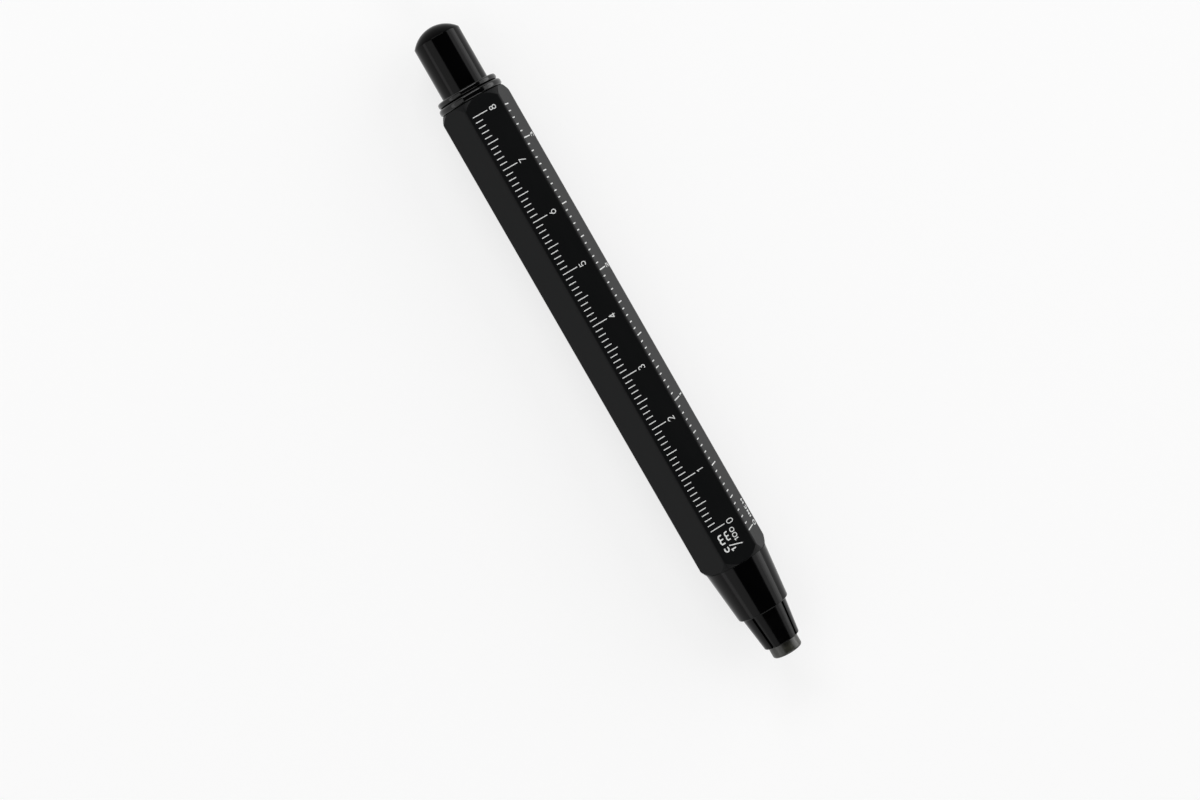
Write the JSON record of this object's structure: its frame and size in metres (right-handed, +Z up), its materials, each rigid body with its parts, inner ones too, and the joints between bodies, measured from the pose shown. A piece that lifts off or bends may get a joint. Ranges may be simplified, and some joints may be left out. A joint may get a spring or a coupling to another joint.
{
  "type": "carpenters mechanical pencil",
  "caption": "Hexagonal clutch pencil with a thick lead: a push button opens the collet's jaws; two flats of the barrel are plain rulers.",
  "frame": {"origin": "centre of the whole pencil's box in plan, at the height of its lowest point, which is the rim of the clamp ring", "axes": "+X along the pencil from the lead to the push button, +Z up, square to the barrel flat that carries the centimetre scale"},
  "size_m": [0.1226, 0.0128, 0.0117],
  "materials": {
    "barrel_black": "satin",
    "gloss_black": "gloss",
    "collet_black": "gloss",
    "brass": "satin",
    "steel": "satin",
    "black_plastic": "matte",
    "graphite": "matte"
  },
  "bodies": {
    "barrel": {"barrel": "barrel_black", "nose_cone": "gloss_black", "guide_bush": "black_plastic", "front_washer": "steel", "return_spring": "steel", "clamp_ring": "gloss_black", "rear_collar": "gloss_black"},
    "carriage": {"rear_washer": "steel"},
    "pusher": {"push_button": "gloss_black", "tube_ferrule": "brass", "lead_tube": "brass", "collet_sleeve": "brass", "sharpener_body": "black_plastic", "sharpener_blade": "steel", "blade_screw": "steel"},
    "lead": {"lead": "graphite"},
    "jaw_1": {"collet_jaw_1": "collet_black"},
    "jaw_2": {"collet_jaw_2": "collet_black"},
    "jaw_3": {"collet_jaw_3": "collet_black"},
    "jaw_4": {"collet_jaw_4": "collet_black"}
  },
  "joints": [
    {"name": "push_slide", "type": "slide", "parent": "barrel", "child": "carriage", "axis": [-1, 0, 0], "range_m": [0, 0.0045], "stiffness_N_per_m": 900, "springref_m": -0.004, "deforming": ["return_spring"]},
    {"name": "pusher_turn", "type": "hinge", "parent": "carriage", "child": "pusher", "pos_m": [0.03154, 0, 0.00586], "axis": [1, 0, 0], "continuous": true},
    {"name": "jaw_1_open", "type": "hinge", "parent": "pusher", "child": "jaw_1", "pos_m": [-0.03771, 0.00022, 0.00903], "axis": [0, 0.9976, -0.0698], "range_deg": [0, 2.1]},
    {"name": "jaw_2_open", "type": "hinge", "parent": "pusher", "child": "jaw_2", "pos_m": [-0.03771, -0.00317, 0.00608], "axis": [0, 0.0698, 0.9976], "range_deg": [0, 2.1]},
    {"name": "jaw_3_open", "type": "hinge", "parent": "pusher", "child": "jaw_3", "pos_m": [-0.03771, -0.00022, 0.00269], "axis": [0, -0.9976, 0.0698], "range_deg": [0, 2.1]},
    {"name": "jaw_4_open", "type": "hinge", "parent": "pusher", "child": "jaw_4", "pos_m": [-0.03771, 0.00317, 0.00564], "axis": [0, -0.0698, -0.9976], "range_deg": [0, 2.1]},
    {"name": "lead_slide", "type": "slide", "parent": "pusher", "child": "lead", "axis": [-1, 0, 0], "range_m": [-0.02, 0.05]}
  ],
  "couplings": [
    {"joint": "jaw_1_open", "follows": "push_slide", "rad_per_m": 7.7493},
    {"joint": "jaw_2_open", "follows": "push_slide", "rad_per_m": 7.7493},
    {"joint": "jaw_3_open", "follows": "push_slide", "rad_per_m": 7.7493},
    {"joint": "jaw_4_open", "follows": "push_slide", "rad_per_m": 7.7493}
  ]
}
